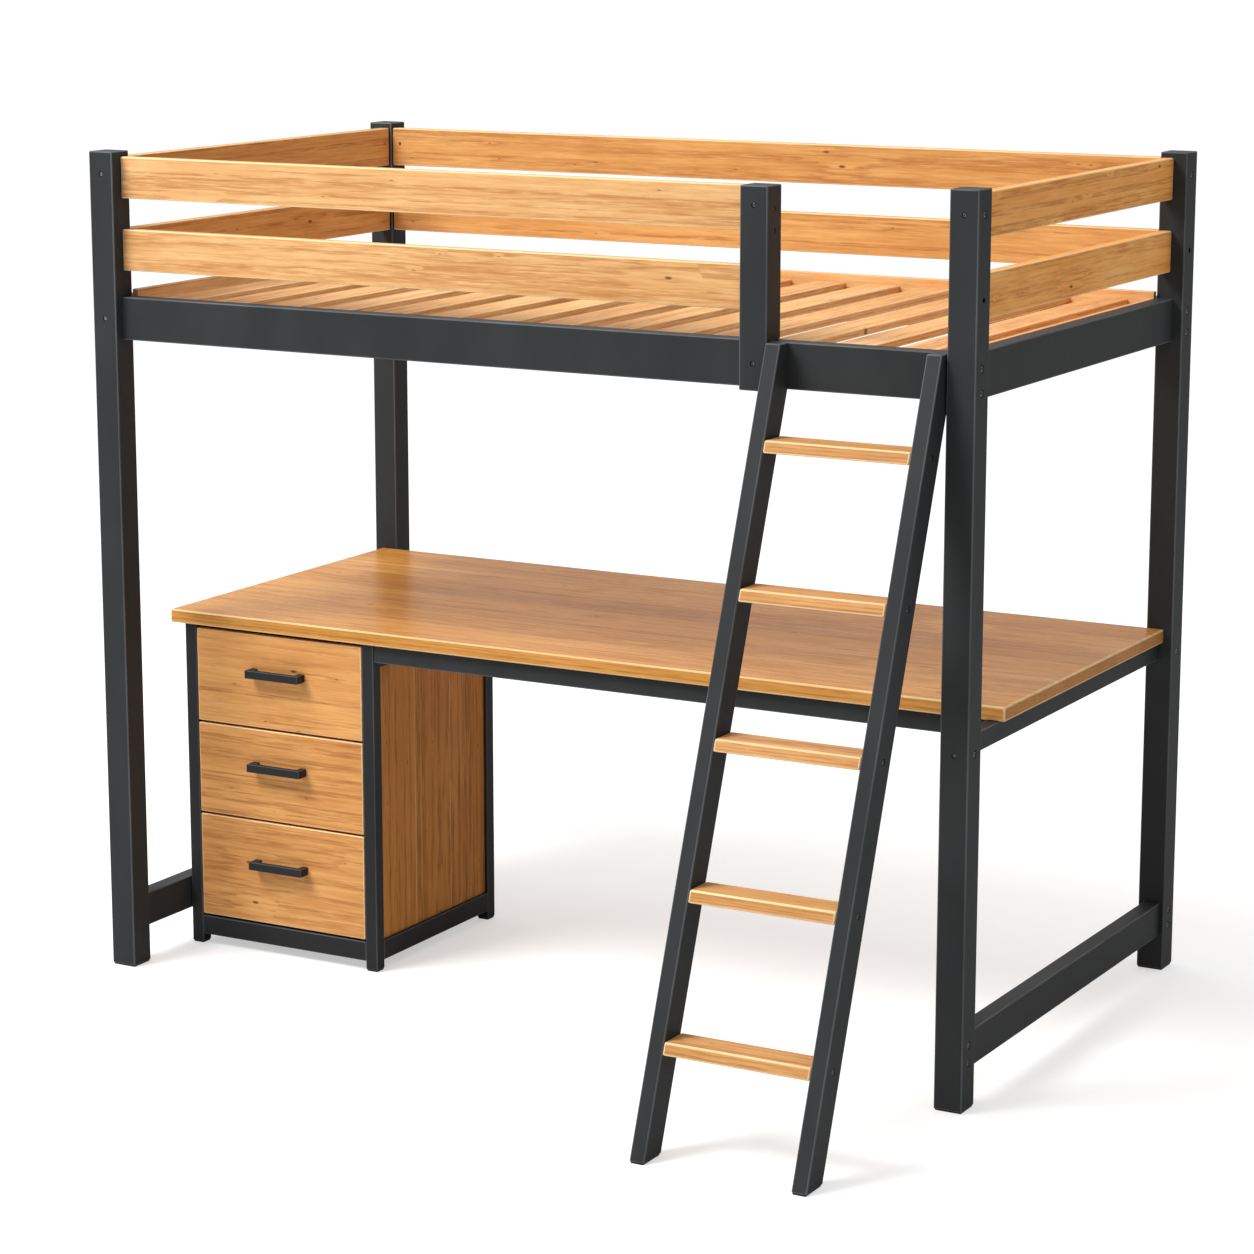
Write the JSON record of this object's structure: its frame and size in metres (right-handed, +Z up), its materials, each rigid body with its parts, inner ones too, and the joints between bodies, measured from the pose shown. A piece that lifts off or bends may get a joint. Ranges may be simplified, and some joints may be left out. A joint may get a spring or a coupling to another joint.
{
  "type": "loft bed with desk",
  "caption": "Raised single bed with slatted base and guard rails, a leaning ladder, and below it a full-length desk on a drawer pedestal.",
  "frame": {"origin": "on the floor under the middle of the overall box, ladder included", "axes": "+X along the bed towards the ladder end, +Y towards the long side without the ladder, +Z up"},
  "size_m": [2.06, 1.7024, 1.8],
  "materials": {
    "frame_paint": "satin charcoal paint over planed timber",
    "light_wood": "satin clear lacquer on honey pine",
    "desk_wood": "satin clear lacquer on honey pine, long boards",
    "panel_wood": "satin clear lacquer, upright grain",
    "box_wood": "plain birch ply",
    "steel_paint": "satin black powder coat"
  },
  "bodies": {
    "bed": {"post_front_left": "frame_paint", "post_front_right": "frame_paint", "post_rear_left": "frame_paint", "post_rear_right": "frame_paint", "side_rail_front": "frame_paint", "side_rail_rear": "frame_paint", "end_rail_left": "frame_paint", "end_rail_right": "frame_paint", "guard_post": "frame_paint", "guard_rail_front_lower": "light_wood", "guard_rail_rear_lower": "light_wood", "guard_rail_left_lower": "light_wood", "guard_rail_right_lower": "light_wood", "guard_rail_front_upper": "light_wood", "guard_rail_rear_upper": "light_wood", "guard_rail_left_upper": "light_wood", "guard_rail_right_upper": "light_wood", "liner_left": "light_wood", "liner_right": "light_wood", "slat_ledger_front": "light_wood", "slat_ledger_rear": "light_wood", "slat_01": "light_wood", "slat_02": "light_wood", "slat_03": "light_wood", "slat_04": "light_wood", "slat_05": "light_wood", "slat_06": "light_wood", "slat_07": "light_wood", "slat_08": "light_wood", "slat_09": "light_wood", "slat_10": "light_wood", "slat_11": "light_wood", "slat_12": "light_wood", "slat_13": "light_wood", "slat_14": "light_wood", "stretcher_left": "frame_paint", "stretcher_right": "frame_paint", "desk_top": "desk_wood", "desk_apron_right": "frame_paint", "desk_apron_front": "frame_paint", "desk_apron_rear": "frame_paint", "ladder_stringer_left": "frame_paint", "ladder_stringer_right": "frame_paint", "ladder_tread_1": "light_wood", "ladder_tread_2": "light_wood", "ladder_tread_3": "light_wood", "ladder_tread_4": "light_wood", "ladder_tread_5": "light_wood", "pedestal_frame": "steel_paint", "pedestal_panel_left": "panel_wood", "pedestal_panel_right": "panel_wood"},
    "drawer_bottom": {"drawer_bottom_front": "light_wood", "drawer_bottom_box": "box_wood", "drawer_bottom_handle": "steel_paint"},
    "drawer_middle": {"drawer_middle_front": "light_wood", "drawer_middle_box": "box_wood", "drawer_middle_handle": "steel_paint"},
    "drawer_top": {"drawer_top_front": "light_wood", "drawer_top_box": "box_wood", "drawer_top_handle": "steel_paint"}
  },
  "joints": [
    {"name": "drawer_bottom_slide", "type": "slide", "parent": "bed", "child": "drawer_bottom", "axis": [0, -1, 0], "range_m": [0, 0.38]},
    {"name": "drawer_middle_slide", "type": "slide", "parent": "bed", "child": "drawer_middle", "axis": [0, -1, 0], "range_m": [0, 0.38]},
    {"name": "drawer_top_slide", "type": "slide", "parent": "bed", "child": "drawer_top", "axis": [0, -1, 0], "range_m": [0, 0.38]}
  ]
}
